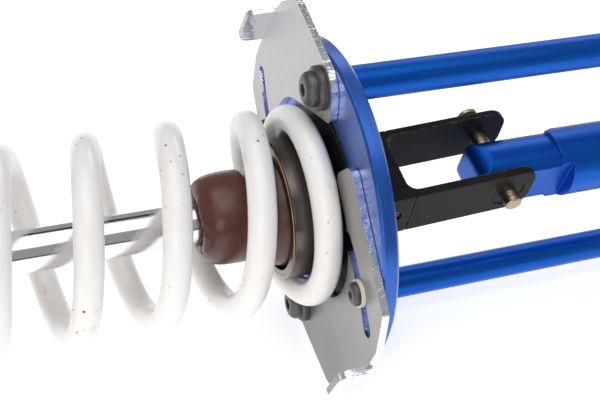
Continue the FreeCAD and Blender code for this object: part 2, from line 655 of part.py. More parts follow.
def make_damper():
    mouth = "body_mouth_x"
    keep("damper_tube", turned("damper_tube", [
        (mouth, "body_bore_rad"), (mouth, "body_rad - edge_break"),
        (mouth + " - edge_break", "body_rad"), ("body_rear_x", "body_rad"),
        ("body_rear_x", "body_bore_rad")]))
    keep("seal_head", turned("seal_head", [
        (mouth, "seal_bore_rad"), (mouth + " - seal_len", "seal_bore_rad"),
        (mouth + " - seal_len", "body_bore_rad"), (mouth, "body_bore_rad")]))
    keep("rod_wiper", turned("rod_wiper", [
        (mouth, "seal_bore_rad + 0.03"), (mouth, "wiper_rad"),
        (mouth + " + wiper_len - 2", "wiper_rad - 1"),
        (mouth + " + wiper_len", "rod_rad + 2.5"),
        (mouth + " + wiper_len", "seal_bore_rad + 0.03")]))
    keep("piston", turned("piston", [
        ("piston_x", "piston_spigot_rad"), ("piston_x", "piston_rad - edge_break"),
        ("piston_x + edge_break", "piston_rad"),
        ("piston_x + piston_len - edge_break", "piston_rad"),
        ("piston_x + piston_len", "piston_rad - edge_break"),
        ("piston_x + piston_len", "piston_spigot_rad")]))
    washer = rod_along_x("piston_washer_disc", "boss_rad - 9", "piston_x + piston_len",
                         "rod_tail_x - piston_x - piston_len")
    bore = rod_along_x("piston_washer_bore", "piston_spigot_rad", "piston_x + piston_len",
                       "rod_tail_x - piston_x - piston_len")
    keep("piston_shim", cut("piston_shim", washer, bore))
    nut = hexagon("piston_nut_hex", "10.5", "piston_x - 9", "9")
    thread = rod_along_x("piston_nut_bore", "piston_spigot_rad", "piston_x - 9", "9")
    keep("piston_nut", cut("piston_nut", nut, thread))
    disc = turned("floating_piston", [
        ("floating_x", "0"), ("floating_x", "piston_rad"),
        ("floating_x + floating_len", "piston_rad"),
        ("floating_x + floating_len", "piston_rad - 6"),
        ("floating_x + 5", "piston_rad - 6"), ("floating_x + 5", "0")])
    keep("floating_piston", disc)


def make_eye_cap():
    plug = turned("eye_cap", [
        ("cap_rear_x", "0"), ("cap_rear_x", "body_rad - 3"), ("cap_rear_x + 3", "body_rad"),
        ("body_rear_x", "body_rad"), ("body_rear_x", "body_bore_rad"),
        ("body_rear_x + 8", "body_bore_rad"), ("body_rear_x + 8", "0")])
    lug = block("eye_lug", ("eye_x", "- eyelet_half", "- eyelet_rad + 2"),
                ("cap_rear_x - eye_x + 1", "eyelet_half + eyelet_half",
                 "eyelet_rad + eyelet_rad - 4"))
    eye = rod_along_y("eye_ring", "eyelet_rad", "- eyelet_half", "eyelet_half + eyelet_half",
                      "eye_x")
    body = join("eye_cap", plug, lug, eye)
    body = cut("eye_cap", body, rod_along_y("eye_race_hole", "race_rad", "- eyelet_half",
                                            "eyelet_half + eyelet_half", "eye_x"))
    keep("eye_cap", body, ROLL)
    race = rod_along_y("eye_race_disc", "race_rad", "- eyelet_half", "eyelet_half + eyelet_half",
                       "eye_x")
    sphere = ball("eye_ball_space", "race_rad - 2", "eye_x")
    through = rod_along_y("eye_race_bore", "race_rad - 4", "- eyelet_half",
                          "eyelet_half + eyelet_half", "eye_x")
    keep("eye_race", cut("eye_race", race, sphere, through), ROLL)
    inner = join("eye_ball", overlap("eye_ball", ball("eye_ball_round", "race_rad - 2.05",
                                                      "eye_x"),
                                     block("eye_ball_trim", ("eye_x - 12", "- 8", "- 12"),
                                           ("24", "16", "24"))),
                 rod_along_y("eye_ball_bush", "7.5", "- bush_half", "bush_half + bush_half",
                             "eye_x"))
    hole = rod_along_y("eye_bolt_hole", "eye_bore_rad", "- bush_half", "bush_half + bush_half",
                       "eye_x")
    keep("eye_ball", cut("eye_ball", inner, hole), ROLL)


def make_preload():
    face = "seat_face_x"
    rear = "seat_face_x - seat_thick"
    keep("spring_seat", turned("spring_seat", [
        (rear, "seat_bore_rad"), (rear, "seat_rad - edge_break"),
        (rear + " + edge_break", "seat_rad"), (face + " - edge_break", "seat_rad"),
        (face, "seat_rad - edge_break"), (face, "seat_pilot_rad"),
        (face + " + seat_pilot_len - edge_break", "seat_pilot_rad"),
        (face + " + seat_pilot_len", "seat_pilot_rad - edge_break"),
        (face + " + seat_pilot_len", "seat_bore_rad")]))
    for name, front, thick in (
            ("preload_collar", rear + " - nut_gap", "preload_thick"),
            ("lock_ring", rear + " - nut_gap - preload_thick - nut_gap", "lock_thick")):
        bore = "seat_bore_rad" if name == "preload_collar" else "body_rad"
        ring = turned(name, [
            (front, bore), (front, "preload_rad - edge_break"),
            (front + " - edge_break", "preload_rad"),
            (front + " - " + thick + " + edge_break", "preload_rad"),
            (front + " - " + thick, "preload_rad - edge_break"), (front + " - " + thick, bore)])
        notches = []
        for index in range(6):
            notch = block("%s_notch_%d" % (name, index), ("0", "0", "0"), ("20", "5", "4"))
            turn = FreeCAD.Rotation(X_AXIS, 60 * index)
            corner = V(number(front) - 20, -2.5, DIMS["preload_rad"] - 2.2)
            notch.setExpression(".Placement.Base.x", None)
            notch.setExpression(".Placement.Base.y", None)
            notch.setExpression(".Placement.Base.z", None)
            notch.Placement = FreeCAD.Placement(turn.multVec(corner), turn)
            notches.append(notch)
        keep(name, cut(name, ring, *notches))


def check_and_write():
    doc.recompute()
    for obj in doc.Objects:
        if "Invalid" in obj.State or "Error" in obj.State:
            raise RuntimeError("not computed: " + obj.Name)
    os.makedirs("parts", exist_ok=True)
    for node in nodes:
        if node.Shape.isNull() or not node.Shape.isValid() or not node.Shape.Solids:
            raise RuntimeError("bad shape: " + node.Label)
        node.Shape.exportStep("parts/%s.step" % node.Label)


make_anvil()
make_post("post_upper", "+")
make_post("post_lower", "-")
make_pivot_hardware()
make_guide_hardware()
make_end_plate()
make_end_hardware()
make_thrust_bearing()
make_spring()
make_swing_plate("swing_plate_upper", SWING_UPPER_DEG, True)
make_swing_plate("swing_plate_lower", 0, False)
make_draw_tube()
make_pin()
make_draw_screw()
make_clevis()
make_adjuster()
make_rod()
make_bump_stop()
make_spring_collar()
make_seat_ring()
make_retainer()
make_damper()
make_eye_cap()
make_preload()
check_and_write()
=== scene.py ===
# %% [markdown]
# # A strut in its spring compressor
# A motocross strut (damper, coil spring, clevis) is held by a bench tool: a blue anvil ring with
# two swinging jaw plates, two posts, an end plate and a draw screw.  The solids come packed
# from CAD with true sizes, so this lesson is about looks: light, finishes, and the few pieces
# that need a finer shape than their solid has.
# We begin by loading that frame, and we keep its box, because nothing made here may grow past it.

# %% Load the frame
import json
import math

import bmesh
import bpy
from mathutils import Matrix, Vector, noise


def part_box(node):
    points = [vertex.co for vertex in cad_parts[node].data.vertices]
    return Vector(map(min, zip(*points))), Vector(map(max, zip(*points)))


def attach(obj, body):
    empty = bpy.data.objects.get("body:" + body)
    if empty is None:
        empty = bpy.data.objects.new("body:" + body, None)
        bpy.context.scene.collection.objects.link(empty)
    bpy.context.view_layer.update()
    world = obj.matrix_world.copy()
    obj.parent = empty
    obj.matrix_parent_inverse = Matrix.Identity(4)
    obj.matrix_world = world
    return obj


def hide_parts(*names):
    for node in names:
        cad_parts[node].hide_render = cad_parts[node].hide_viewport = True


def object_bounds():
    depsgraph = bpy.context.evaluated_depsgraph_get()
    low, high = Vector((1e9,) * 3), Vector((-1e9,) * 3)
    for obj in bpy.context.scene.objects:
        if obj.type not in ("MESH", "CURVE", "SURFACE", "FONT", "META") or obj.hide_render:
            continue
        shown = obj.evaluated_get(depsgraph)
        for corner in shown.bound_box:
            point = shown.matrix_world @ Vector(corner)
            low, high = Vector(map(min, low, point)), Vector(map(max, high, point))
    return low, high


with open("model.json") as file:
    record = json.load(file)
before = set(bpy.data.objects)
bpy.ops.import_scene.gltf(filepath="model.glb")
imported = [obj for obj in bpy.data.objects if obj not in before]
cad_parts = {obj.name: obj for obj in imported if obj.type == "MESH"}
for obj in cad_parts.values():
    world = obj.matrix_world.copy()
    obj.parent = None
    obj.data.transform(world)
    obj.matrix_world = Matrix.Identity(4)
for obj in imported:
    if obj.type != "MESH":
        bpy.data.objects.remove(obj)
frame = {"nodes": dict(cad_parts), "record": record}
cad_low, cad_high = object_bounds()
nodes = frame["nodes"]
print("loaded", len(nodes), "nodes, box", [round(v, 4) for v in (*cad_low, *cad_high)])

# %% [markdown]
# ## The camera
# The camera stands in front of the strut's damper end, above it, and looks down along the
# tool.  A camera could be aimed with a Track To constraint, but a place and two directions are
# plainer, and nothing is left live.  The direction to the right isn't level: that small roll
# makes the posts climb to the right.

# %% Place the camera
CAMERA_PLACE = Vector((-0.397871, -0.334999, 0.285120))
CAMERA_AHEAD = Vector((0.28918486, 0.73194796, -0.61694757))
CAMERA_RIGHT = Vector((0.94419989, -0.32424497, 0.0578945))
LENS_MM = 62.93
SENSOR_MM = 36.0
NEAREST, FURTHEST = 0.01, 20.0

camera_data = bpy.data.cameras.new("bench_camera")
camera_data.lens = LENS_MM
camera_data.sensor_width = SENSOR_MM
camera_data.clip_start, camera_data.clip_end = NEAREST, FURTHEST
camera = bpy.data.objects.new("bench_camera", camera_data)
camera_up = CAMERA_RIGHT.cross(CAMERA_AHEAD)
camera.matrix_world = Matrix.Translation(CAMERA_PLACE) @ Matrix(
    (CAMERA_RIGHT, camera_up, -CAMERA_AHEAD)).transposed().to_4x4()
bpy.context.scene.collection.objects.link(camera)
bpy.context.scene.camera = camera
print("camera at", tuple(round(v, 3) for v in camera.location), "lens", LENS_MM, "mm")

# %% [markdown]
# ## Wiring finishes
# Every finish is a small node tree, and a tree is mostly "make a node, set its inputs, wire
# its inputs".  One helper does all of that: a value that is a socket gets wired, anything else
# is set.  Sockets are looked up by name, or by number where a node repeats a name.

# %% A helper for nodes
def wire(tree, kind, out=0, props=None, **inputs):
    """Add a node, set or wire its inputs, and hand back one of its outputs."""
    node = tree.nodes.new(kind)
    for name, value in (props or {}).items():
        setattr(node, name, value)
    for name, value in inputs.items():
        key = int(name[1:]) if name[0] == "i" and name[1:].isdigit() else name.replace("_", " ")
        if isinstance(value, bpy.types.NodeSocket):
            tree.links.new(value, node.inputs[key])
        else:
            node.inputs[key].default_value = value
    return node.outputs[out]


def calc(tree, operation, *values):
    """A Math node on sockets or plain numbers."""
    inputs = {"i%d" % index: value for index, value in enumerate(values)}
    return wire(tree, "ShaderNodeMath", props={"operation": operation}, **inputs)


def remap(tree, value, low, high, to_low=0.0, to_high=1.0):
    """Stretch a value from one span to another, held at the ends."""
    return wire(tree, "ShaderNodeMapRange", props={"interpolation_type": "SMOOTHSTEP"},
                i0=value, i1=low, i2=high, i3=to_low, i4=to_high)


def tint(tree, mask, colour_a, colour_b):
    """Blend two colours by a mask; each may be a socket or three numbers."""
    first, second = (c if isinstance(c, bpy.types.NodeSocket) else (*c, 1.0)
                     for c in (colour_a, colour_b))
    return wire(tree, "ShaderNodeMix", out=2, props={"data_type": "RGBA"},
                i0=mask, i6=first, i7=second)


def place_of(tree, scale=(1, 1, 1), location=(0, 0, 0)):
    """Object coordinates through a Mapping node."""
    coords = wire(tree, "ShaderNodeTexCoord", out="Object")
    return wire(tree, "ShaderNodeMapping", i0=coords, i1=location, i3=scale)


print("node helpers ready")

# %% [markdown]
# ## Shared effects
# Four effects turn up on many finishes, so each is built once as a node group.
# *Worn edges* compares the surface normal with one softened over a small radius: they differ
# only near an edge, and that works on a CAD mesh too, whose triangles aren't joined.  The
# other way, the Pointiness output, needs joined vertices.
# *Fine grain* is roughness and height for satin and blasted metal.  *Long streaks* are drawn
# or rubbed marks along one direction.  *Specks* are scattered small chips.

# %% Build the shared groups
def new_group(name, ins, outs):
    """An empty shader group with named sockets: {name: default} in, {name: kind} out."""
    group = bpy.data.node_groups.new(name, "ShaderNodeTree")
    for label, value in ins.items():
        kind = "NodeSocketVector" if isinstance(value, tuple) else "NodeSocketFloat"
        socket = group.interface.new_socket(label, in_out="INPUT", socket_type=kind)
        socket.default_value = value
    for label, kind in outs.items():
        group.interface.new_socket(label, in_out="OUTPUT", socket_type=kind)
    return group, group.nodes.new("NodeGroupInput"), group.nodes.new("NodeGroupOutput")


def build_worn_edges():
    """Where an edge is rubbed, and the softened normal that shows it."""
    group, gin, gout = new_group("worn edges", {"Radius": 0.0006, "Breakup": 900.0, "Amount": 1.0},
                                 {"Mask": "NodeSocketFloat", "Normal": "NodeSocketVector"})
    soft = wire(group, "ShaderNodeBevel", props={"samples": 4}, Radius=gin.outputs["Radius"])
    flat = wire(group, "ShaderNodeNewGeometry", out="Normal")
    same = wire(group, "ShaderNodeVectorMath", out="Value", props={"operation": "DOT_PRODUCT"},
                i0=soft, i1=flat)
    edge = remap(group, same, 0.995, 0.86)
    coords = wire(group, "ShaderNodeTexCoord", out="Object")
    patches = wire(group, "ShaderNodeTexNoise", Vector=coords, Scale=gin.outputs["Breakup"],
                   Detail=3.0)
    broken = remap(group, patches, 0.36, 0.62)
    mask = calc(group, "MULTIPLY", calc(group, "MULTIPLY", edge, broken), gin.outputs["Amount"])
    group.links.new(mask, gout.inputs["Mask"])
    group.links.new(soft, gout.inputs["Normal"])
    return group


def build_fine_grain():
    """Roughness between Low and High, a fine height, and the cloud that smudges the colour."""
    group, gin, gout = new_group(
        "fine grain", {"Scale": 2500.0, "Smudge Scale": 45.0, "Low": 0.25, "High": 0.45},
        {"Roughness": "NodeSocketFloat", "Height": "NodeSocketFloat", "Smudge": "NodeSocketFloat"})
    coords = wire(group, "ShaderNodeTexCoord", out="Object")
    fine = wire(group, "ShaderNodeTexNoise", Vector=coords, Scale=gin.outputs["Scale"], Detail=2.0)
    cloud = wire(group, "ShaderNodeTexNoise", Vector=coords, Scale=gin.outputs["Smudge Scale"],
                 Detail=5.0, Roughness=0.62)
    smudge = remap(group, cloud, 0.3, 0.7)
    both = calc(group, "ADD", calc(group, "MULTIPLY", fine, 0.4),
                calc(group, "MULTIPLY", smudge, 0.6))
    span = calc(group, "SUBTRACT", gin.outputs["High"], gin.outputs["Low"])
    rough = calc(group, "ADD", gin.outputs["Low"], calc(group, "MULTIPLY", both, span))
    group.links.new(rough, gout.inputs["Roughness"])
    group.links.new(fine, gout.inputs["Height"])
    group.links.new(smudge, gout.inputs["Smudge"])
    return group


def build_streaks():
    """Noise squeezed hard on two axes, so that it runs in lines along the third."""
    group, gin, gout = new_group("long streaks", {"Stretch": (30.0, 900.0, 900.0)},
                                 {"Streaks": "NodeSocketFloat"})
    coords = wire(group, "ShaderNodeTexCoord", out="Object")
    long = wire(group, "ShaderNodeVectorMath", props={"operation": "MULTIPLY"},
                i0=coords, i1=gin.outputs["Stretch"])
    lines = wire(group, "ShaderNodeTexNoise", Vector=long, Scale=1.0, Detail=4.0, Roughness=0.55)
    group.links.new(remap(group, lines, 0.3, 0.7), gout.inputs["Streaks"])
    return group


def build_specks():
    """A ragged dot in a small share of the cells."""
    group, gin, gout = new_group("specks", {"Scale": 260.0, "Share": 0.1, "Size": 0.25},
                                 {"Mask": "NodeSocketFloat"})
    coords = wire(group, "ShaderNodeTexCoord", out="Object")
    wobble = wire(group, "ShaderNodeTexNoise", out="Color", Vector=coords, Scale=1400.0,
                  Detail=3.0)
    push = wire(group, "ShaderNodeVectorMath", props={"operation": "MULTIPLY"},
                i0=wobble, i1=(0.0016, 0.0016, 0.0016))
    moved = wire(group, "ShaderNodeVectorMath", props={"operation": "ADD"}, i0=coords, i1=push)
    cells = wire(group, "ShaderNodeTexVoronoi", out="Distance", Vector=moved,
                 Scale=gin.outputs["Scale"])
    colour = wire(group, "ShaderNodeTexVoronoi", out="Color", Vector=moved,
                  Scale=gin.outputs["Scale"])
    chance = wire(group, "ShaderNodeSeparateColor", out=0, i0=colour)
    picked = calc(group, "LESS_THAN", chance, gin.outputs["Share"])
    near = calc(group, "LESS_THAN", cells, gin.outputs["Size"])
    group.links.new(calc(group, "MULTIPLY", picked, near), gout.inputs["Mask"])
    return group


WORN_EDGES = build_worn_edges()
FINE_GRAIN = build_fine_grain()
STREAKS = build_streaks()
SPECKS = build_specks()
print("shared effects:", ", ".join(g.name for g in bpy.data.node_groups))

# %% [markdown]
# ## Starting a finish
# `start_finish` opens a material and returns its tree and its Principled shader, with the
# plain numbers already on the shader's own sockets.  `effect` drops a shared group into it,
# `dent` adds the bump, and `feed` wires the rest.

# %% Open a material, drop in a group
def start_finish(name, **plain):
    """A new material with the shader's constant inputs already set."""
    material = bpy.data.materials.new(name)
    material.use_nodes = True
    tree = material.node_tree
    shader = tree.nodes["Principled BSDF"]
    for label, value in plain.items():
        shader.inputs[label.replace("_", " ")].default_value = value
    return material, tree, shader


def effect(tree, group, **inputs):
    """Drop a shared group into a tree and hand back its outputs."""
    node = tree.nodes.new("ShaderNodeGroup")
    node.node_tree = group
    for label, value in inputs.items():
        socket = node.inputs[label.replace("_", " ")]
        if isinstance(value, bpy.types.NodeSocket):
            tree.links.new(value, socket)
        else:
            socket.default_value = value
    return node.outputs


def dent(tree, shader, height, strength, distance, normal=None):
    """Feed a Bump node into the shader."""
    bump = tree.nodes.new("ShaderNodeBump")
    bump.inputs["Strength"].default_value = strength
    bump.inputs["Distance"].default_value = distance
    tree.links.new(height, bump.inputs["Height"])
    if normal is not None:
        tree.links.new(normal, bump.inputs["Normal"])
    tree.links.new(bump.outputs["Normal"], shader.inputs["Normal"])


def feed(tree, shader, **inputs):
    """Wire sockets into the shader's inputs, by name."""
    for label, socket in inputs.items():
        tree.links.new(socket, shader.inputs[label.replace("_", " ")])


print("finish helpers ready")

# %% [markdown]
# ## Blue anodised aluminium
# The ring, posts, end plate and draw tube are dyed aluminium.  Real anodising is a clear hard
# layer with dye in it over bright metal: the metal gives the saturated blue, and the layer
# gives the pale violet sheen where you look along a face.  A metallic base with a rough coat
# does the same.  Streaks along the bars come from drawing and polishing.

# %% Make the blue finish
def make_blue_anodised(name, stretch, low, high, coat):
    """Dyed aluminium, streaked along the axis that `stretch` squeezes least."""
    material, tree, shader = start_finish(name, Metallic=0.86, Coat_Weight=coat,
                                          Coat_Roughness=0.3, Coat_IOR=1.6)
    grain = effect(tree, FINE_GRAIN, Scale=3800.0, Smudge_Scale=30.0, Low=low, High=high)
    streaks = effect(tree, STREAKS, Stretch=stretch)["Streaks"]
    worn = effect(tree, WORN_EDGES, Radius=0.0007, Breakup=420.0, Amount=0.35)
    deep = tint(tree, streaks, (0.0, 0.078, 0.42), (0.0, 0.115, 0.56))
    cloudy = tint(tree, calc(tree, "MULTIPLY", grain["Smudge"], 0.35), deep, (0.002, 0.095, 0.47))
    feed(tree, shader, Base_Color=tint(tree, worn["Mask"], cloudy, (0.20, 0.34, 0.85)),
         Roughness=grain["Roughness"])
    dent(tree, shader, calc(tree, "ADD", grain["Height"], calc(tree, "MULTIPLY", streaks, 1.5)),
         0.12, 0.0002, worn["Normal"])
    return material


BLUE_BAR = make_blue_anodised("blue anodised bar", (16.0, 1100.0, 1100.0), 0.32, 0.44, 0.06)
BLUE_RING = make_blue_anodised("blue anodised ring", (700.0, 60.0, 60.0), 0.26, 0.40, 0.75)
print("made", BLUE_BAR.name, "and", BLUE_RING.name)

# %% [markdown]
# ## Zinc-plated jaw plates
# The jaw plates are cut from sheet, tumbled and plated.  Their faces are satin, but the cut
# edges are bright and slightly rippled, so they sparkle.  The face is told from the edge by
# the X part of the normal, because the plates lie across X and only ever turn about X.  A
# slow change with height paints shade onto the lower plate, which sees less of the overhead light.

# %% Make the plate finish
def make_zinc_plate():
    """Satin faces with painted shade low down, and bright rippled edges."""
    material, tree, shader = start_finish("zinc plate", Metallic=1.0)
    normal = wire(tree, "ShaderNodeNewGeometry", out="Normal")
    along = wire(tree, "ShaderNodeSeparateXYZ", out=0, i0=normal)
    face = remap(tree, calc(tree, "ABSOLUTE", along), 0.80, 0.95)
    edge = calc(tree, "SUBTRACT", 1.0, face)
    grain = effect(tree, FINE_GRAIN, Scale=2600.0, Smudge_Scale=38.0, Low=0.30, High=0.46)
    brushed = effect(tree, STREAKS, Stretch=(500.0, 60.0, 900.0))["Streaks"]
    warm = tint(tree, grain["Smudge"], (0.42, 0.41, 0.41), (0.49, 0.475, 0.465))
    marked = tint(tree, calc(tree, "MULTIPLY", brushed, 0.22), warm, (0.37, 0.365, 0.37))
    specks = effect(tree, SPECKS, Scale=210.0, Share=0.05, Size=0.16)["Mask"]
    dirty = tint(tree, calc(tree, "MULTIPLY", specks, 0.7), marked, (0.18, 0.16, 0.15))
    # Painted shade: the face colour turns a dull grey towards the bottom, standing in for the
    # shade on the lower plate.
    height = wire(tree, "ShaderNodeSeparateXYZ", out=2, i0=place_of(tree))
    painted_shade_low = tint(tree, remap(tree, height, -0.060, 0.035), (0.27, 0.265, 0.255), dirty)
    feed(tree, shader, Base_Color=tint(tree, face, (0.86, 0.85, 0.90), painted_shade_low),
         Roughness=calc(tree, "ADD", calc(tree, "MULTIPLY", face, grain["Roughness"]),
                        calc(tree, "MULTIPLY", edge, 0.12)))
    ripple = wire(tree, "ShaderNodeTexNoise", Vector=place_of(tree, (260, 700, 700)), Scale=1.0,
                  Detail=3.0)
    sparkle = calc(tree, "MULTIPLY", edge, ripple)
    dent(tree, shader, calc(tree, "ADD", sparkle, calc(tree, "MULTIPLY", grain["Height"], 0.04)),
         0.6, 0.0005)
    return material


ZINC_PLATE = make_zinc_plate()
print("made", ZINC_PLATE.name)

# %% [markdown]
# ## White powder coat
# The spring is powder coated: a thick warm white skin, glossy with a very slight orange peel.
# Where coils have rubbed against tools there are patches of small dark chips, and a cloud of
# faint brownish stains lies over the whole.

# %% Make the powder coat
def make_white_powder():
    """Warm white skin, stained and chipped in patches."""
    material, tree, shader = start_finish("white powder coat", Coat_Weight=0.35,
                                          Coat_Roughness=0.12)
    grain = effect(tree, FINE_GRAIN, Scale=900.0, Smudge_Scale=26.0, Low=0.26, High=0.42)
    skin = tint(tree, grain["Smudge"], (0.93, 0.895, 0.86), (0.95, 0.93, 0.90))
    stain_place = place_of(tree, location=(0.31, 0.07, 0.2))
    stain_cloud = wire(tree, "ShaderNodeTexNoise", Vector=stain_place, Scale=62.0, Detail=6.0,
                       Roughness=0.7)
    stain = remap(tree, stain_cloud, 0.56, 0.78, 0.0, 0.60)
    stained = tint(tree, stain, skin, (0.66, 0.50, 0.42))
    zone_place = place_of(tree, location=(0.11, 0.4, 0.9))
    zone_cloud = wire(tree, "ShaderNodeTexNoise", Vector=zone_place, Scale=48.0, Detail=2.0)
    zone = remap(tree, zone_cloud, 0.52, 0.60)
    big = effect(tree, SPECKS, Scale=330.0, Share=0.10, Size=0.20)["Mask"]
    fine = effect(tree, SPECKS, Scale=700.0, Share=0.10, Size=0.24)["Mask"]
    chips = calc(tree, "MULTIPLY", calc(tree, "MAXIMUM", big, fine), zone)
    feed(tree, shader, Base_Color=tint(tree, chips, stained, (0.16, 0.13, 0.12)),
         Roughness=calc(tree, "ADD", grain["Roughness"], calc(tree, "MULTIPLY", chips, 0.3)))
    peel = wire(tree, "ShaderNodeTexNoise", Vector=place_of(tree), Scale=520.0, Detail=1.0)
    dent(tree, shader, calc(tree, "SUBTRACT", peel, calc(tree, "MULTIPLY", chips, 1.5)),
         0.12, 0.0004)
    return material


WHITE_POWDER = make_white_powder()
print("made", WHITE_POWDER.name)

# %% [markdown]
# ## Chrome, turned steels and bronze
# The rod is hard chrome, ground round, so it has the finest of lines round it and hardly any
# bump.  The collar, pin, screw and races come off a lathe: their lines also run round the
# axis, but coarser.  One maker covers them, given two colours, the span of the roughness, how
# many lines there are to a metre, their strength and the axis of turning.

# %% Make turned metals
ALONG_X = (1.0, 0.0, 0.0)
ALONG_Y = (0.0, 1.0, 0.0)
PIN_ROLL = math.radians(16.6)
ALONG_PIN = (0.0, math.cos(PIN_ROLL), math.sin(PIN_ROLL))


def make_turned(name, colour, dark, low, high, lines, strength, axis=ALONG_X):
    """Bare metal with fine lines round its axis, and edges rubbed bright."""
    material, tree, shader = start_finish(name, Metallic=1.0)
    coords = wire(tree, "ShaderNodeTexCoord", out="Object")
    height = wire(tree, "ShaderNodeVectorMath", out="Value", props={"operation": "DOT_PRODUCT"},
                  i0=coords, i1=axis)
    rings = wire(tree, "ShaderNodeTexNoise", out=0, props={"noise_dimensions": "1D"},
                 W=calc(tree, "MULTIPLY", height, lines), Scale=1.0, Detail=4.0)
    ring_mask = remap(tree, rings, 0.3, 0.7)
    grain = effect(tree, FINE_GRAIN, Scale=1800.0, Smudge_Scale=60.0, Low=low, High=high)
    worn = effect(tree, WORN_EDGES, Radius=0.0005, Breakup=800.0, Amount=0.3)
    mottled = tint(tree, calc(tree, "MULTIPLY", grain["Smudge"], 0.5), colour, dark)
    lined = tint(tree, calc(tree, "MULTIPLY", ring_mask, 0.35), mottled, dark)
    bright = tuple(min(1.0, c * 1.6 + 0.05) for c in colour)
    feed(tree, shader, Base_Color=tint(tree, worn["Mask"], lined, bright),
         Roughness=grain["Roughness"])
    dent(tree, shader, ring_mask, strength, 0.0002, worn["Normal"])
    return material


CHROME_ROD = make_turned("hard chrome rod", (0.83, 0.82, 0.83), (0.72, 0.72, 0.74),
                         0.05, 0.12, 2600, 0.05)
GUNMETAL = make_turned("blued steel collar", (0.165, 0.150, 0.140), (0.085, 0.078, 0.072),
                       0.18, 0.30, 1500, 0.08)
GOLD_ZINC = make_turned("yellow zinc pin", (0.50, 0.40, 0.26), (0.36, 0.28, 0.18),
                        0.20, 0.34, 1800, 0.3, ALONG_PIN)
BRONZE = make_turned("turned bronze", (0.62, 0.40, 0.19), (0.45, 0.27, 0.12),
                     0.25, 0.4, 1400, 0.3)
BARE_STEEL = make_turned("ground steel", (0.56, 0.56, 0.57), (0.40, 0.40, 0.42),
                         0.18, 0.34, 1600, 0.25)
ZINC_BAR = make_turned("zinc bar", (0.72, 0.72, 0.74), (0.58, 0.58, 0.60),
                       0.22, 0.36, 1500, 0.2, ALONG_Y)
print("made six turned metals")

# %% [markdown]
# ## Black oxide, black and hard anodising
# Bolts and screws are black oxide: dark grey, satin, rubbed paler at the rims.  The clevis and
# the seats are black anodised: nearly black, with pale nicks along every edge.  The damper body
# is grey hard-anodised aluminium.

# %% Make the dark coatings
def make_coated(name, colour, cloud, worn_colour, metallic, low, high, wear, breakup, gloss=0.5):
    """A dark clouded skin, rubbed through at its edges and nicked here and there."""
    material, tree, shader = start_finish(name, Metallic=metallic, Specular_IOR_Level=gloss)
    grain = effect(tree, FINE_GRAIN, Scale=3000.0, Smudge_Scale=55.0, Low=low, High=high)
    worn = effect(tree, WORN_EDGES, Radius=0.0005, Breakup=breakup, Amount=wear)
    specks = effect(tree, SPECKS, Scale=420.0, Share=0.05, Size=0.15)["Mask"]
    base = tint(tree, grain["Smudge"], colour, cloud)
    nicked = calc(tree, "MAXIMUM", worn["Mask"], calc(tree, "MULTIPLY", specks, 0.25))
    feed(tree, shader, Base_Color=tint(tree, nicked, base, worn_colour),
         Roughness=grain["Roughness"])
    dent(tree, shader, grain["Height"], 0.10, 0.0002, worn["Normal"])
    return material


BLACK_OXIDE = make_coated("black oxide bolt", (0.095, 0.088, 0.084), (0.15, 0.14, 0.132),
                          (0.42, 0.40, 0.37), 0.75, 0.34, 0.5, 0.5, 900.0)
BLACK_ANODISED = make_coated("black anodised", (0.0085, 0.0082, 0.0085), (0.018, 0.0155, 0.015),
                             (0.34, 0.32, 0.30), 0.0, 0.34, 0.50, 0.9, 700.0, 0.10)
RED_ANODISED = make_coated("red anodised knob", (0.42, 0.045, 0.035), (0.30, 0.03, 0.03),
                           (0.8, 0.4, 0.35), 0.6, 0.3, 0.45, 0.5, 700.0)
DAMPER_ALLOY = make_coated("hard anodised damper", (0.32, 0.31, 0.29), (0.40, 0.385, 0.36),
                           (0.72, 0.71, 0.69), 0.85, 0.30, 0.44, 0.5, 500.0)
print("made the coated finishes")

# %% [markdown]
# ## Rubber, nylon and urethane
# The knobs are matt rubber and the guide washers pale nylon.  The bump stop is cast urethane,
# dark red-brown under a thin sheen, with a skin that's a little lumpy and cloudy.

# %% Make the soft finishes
def make_soft(name, colour, cloud, low, high, bumpy, scale, coat=0.0):
    """A plain moulded skin of two close colours, with a grainy bump."""
    material, tree, shader = start_finish(name, Coat_Weight=coat, Coat_Roughness=0.18)
    grain = effect(tree, FINE_GRAIN, Scale=scale, Smudge_Scale=85.0, Low=low, High=high)
    feed(tree, shader, Base_Color=tint(tree, grain["Smudge"], colour, cloud),
         Roughness=grain["Roughness"])
    dent(tree, shader, grain["Height"], bumpy, 0.0004)
    return material


BLACK_RUBBER = make_soft("black rubber", (0.018, 0.018, 0.018), (0.032, 0.031, 0.03),
                         0.55, 0.8, 0.3, 1500.0)
PALE_NYLON = make_soft("pale nylon washer", (0.66, 0.64, 0.52), (0.76, 0.75, 0.66),
                       0.4, 0.55, 0.1, 1200.0)
URETHANE = make_soft("cast urethane", (0.075, 0.017, 0.010), (0.120, 0.032, 0.019),
                     0.24, 0.42, 0.25, 520.0, 0.10)
print("made rubber, nylon and urethane")

# %% [markdown]
# ## Dress the CAD nodes
# A CAD node keeps its mesh; only its material changes.  The record says which slot each node
# belongs to, so a table from slot to finish dresses almost all of them, and a second short
# table holds the exceptions.

# %% Give every node its finish
SLOT_FINISH = {
    "blue_anodised": BLUE_BAR, "zinc_steel": ZINC_PLATE, "black_oxide": BLACK_OXIDE,
    "pale_washer": PALE_NYLON, "white_powder": WHITE_POWDER, "chrome_rod": CHROME_ROD,
    "urethane": URETHANE, "gunmetal": GUNMETAL, "black_anodised": BLACK_ANODISED,
    "red_anodised": RED_ANODISED, "gold_zinc": GOLD_ZINC, "bronze": BRONZE,
    "bare_steel": BARE_STEEL, "black_rubber": BLACK_RUBBER, "damper_alloy": DAMPER_ALLOY,
}
NODE_FINISH = {"anvil_plate": BLUE_RING, "end_plate": BLUE_RING, "tommy_bar": ZINC_BAR}

